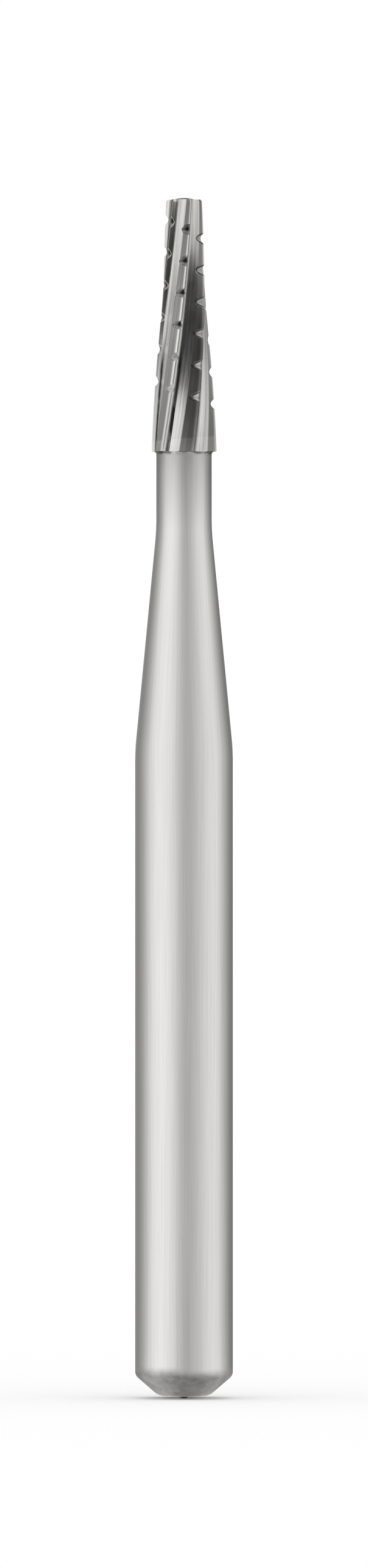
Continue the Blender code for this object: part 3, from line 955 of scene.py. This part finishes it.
def add_card(name, edges, surface):
    """A card between these upright edges, bent round the bur."""
    columns = []
    for first, last in zip(edges, edges[1:]):
        steps = math.ceil((last[0] - first[0]) / CARD_STEP)
        columns += [between(first, last, step / steps) for step in range(steps)]
    mesh = bmesh.new()
    posts = []
    for angle, low, high in (*columns, edges[-1]):
        x, y = turned((0.0, -CARD_RADIUS), math.radians(angle))
        posts.append([mesh.verts.new((x, y, z * MM)) for z in (low, high)])
    for left, right in zip(posts, posts[1:]):
        mesh.faces.new((left[0], left[1], right[1], right[0]))
    only_in_reflections(new_object(name, mesh, surface))


# Half the width of the paper floor, which reaches well past every view
FLOOR_HALF = 0.6


def add_floor(finish):
    mesh = bmesh.new()
    corners = (-1, -1), (1, -1), (1, 1), (-1, 1)
    mesh.faces.new([mesh.verts.new((x * FLOOR_HALF, y * FLOOR_HALF, 0.0)) for x, y in corners])
    new_object("sweep_floor", mesh, sweep_paper(finish))


def add_world():
    world = bpy.data.worlds.new("White studio")
    bpy.context.scene.world = world
    world.use_nodes = True
    tree = world.node_tree
    tree.nodes.clear()
    white = add_node(tree, "ShaderNodeBackground", {"Color": (1.0, 1.0, 1.0, 1.0), "Strength": 1.0})
    add_node(tree, "ShaderNodeOutputWorld", {"Surface": white})


def add_camera(stage):
    data = bpy.data.cameras.new("camera")
    data.sensor_width = 36.0
    data.lens = data.sensor_width * stage.distance / stage.frame_height
    data.clip_start = 0.001
    data.clip_end = 10.0
    camera = bpy.data.objects.new("camera", data)
    bpy.context.collection.objects.link(camera)
    camera.location = (0.0, -stage.distance, stage.frame_middle)
    camera.rotation_euler = (math.pi / 2, 0.0, 0.0)
    bpy.context.scene.camera = camera


class BUR_OT_stage(bpy.types.Operator):
    """Make the camera, the paper floor, the light tent with its cards and the plain white surroundings"""

    bl_idname = "bur.stage"
    bl_label = "Make stage"

    def execute(self, context):
        scene = context.scene
        add_world()
        add_floor(scene.bur_finish)
        add_tent(scene.bur_stage)
        add_card("black_card", BLACK_EDGES, black_velvet())
        white = white_board()
        add_card("right_white_card", RIGHT_WHITE_EDGES, white)
        add_card("left_white_card", LEFT_WHITE_EDGES, white)
        add_camera(scene.bur_stage)
        scene.view_settings.view_transform = "Standard"
        return {"FINISHED"}


class BUR_OT_head(bpy.types.Operator):
    """Make the fluted carbide head above the braze plane"""

    bl_idname = "bur.head"
    bl_label = "Make carbide head"

    def execute(self, context):
        scene = context.scene
        head = scene.bur_head
        carbide = ground_carbide(scene.bur_finish, head)
        mesh = fluted_mesh(head, carbide)
        close_tip(mesh, head)
        cut_at_joint(mesh, head, keep_above=True)
        finish_piece("ground_carbide_head", mesh, "carbide_head", carbide)
        return {"FINISHED"}


class BUR_OT_shank(bpy.types.Operator):
    """Make the steel shank with its neck and the fluted stub below the braze plane"""

    bl_idname = "bur.shank"
    bl_label = "Make steel shank"

    def execute(self, context):
        scene = context.scene
        head = scene.bur_head
        steel = ground_steel(scene.bur_finish, head)
        mesh = fluted_mesh(head, steel)
        add_shank_rings(mesh, head, scene.bur_shank)
        cut_at_joint(mesh, head, keep_above=False)
        finish_piece("ground_steel_shank", mesh, "steel_shank", steel)
        return {"FINISHED"}


class BUR_PT_panel(bpy.types.Panel):
    """Sizes and colours of the bur, and the buttons that make it"""

    bl_idname = "BUR_PT_panel"
    bl_label = "Dental bur"
    bl_space_type = "VIEW_3D"
    bl_region_type = "UI"
    bl_category = "Bur"

    def draw(self, context):
        for name in ("bur_stage", "bur_head", "bur_shank", "bur_finish"):
            settings = getattr(context.scene, name)
            box = self.layout.box()
            for prop in settings.bl_rna.properties:
                if prop.identifier not in ("name", "rna_type"):
                    box.prop(settings, prop.identifier)
        for operator in OPERATORS:
            self.layout.operator(operator.bl_idname)


OPERATORS = (BUR_OT_stage, BUR_OT_head, BUR_OT_shank)
SETTINGS = (
    ("bur_head", HeadSettings),
    ("bur_shank", ShankSettings),
    ("bur_finish", FinishSettings),
    ("bur_stage", StageSettings),
)


def register():
    for name, group in SETTINGS:
        bpy.utils.register_class(group)
        setattr(bpy.types.Scene, name, PointerProperty(type=group))
    for kind in (*OPERATORS, BUR_PT_panel):
        bpy.utils.register_class(kind)


def unregister():
    for kind in (BUR_PT_panel, *reversed(OPERATORS)):
        bpy.utils.unregister_class(kind)
    for name, group in reversed(SETTINGS):
        delattr(bpy.types.Scene, name)
        bpy.utils.unregister_class(group)


def main():
    register()
    for operation in (bpy.ops.bur.stage, bpy.ops.bur.head, bpy.ops.bur.shank):
        operation()


if __name__ == "__main__":
    main()
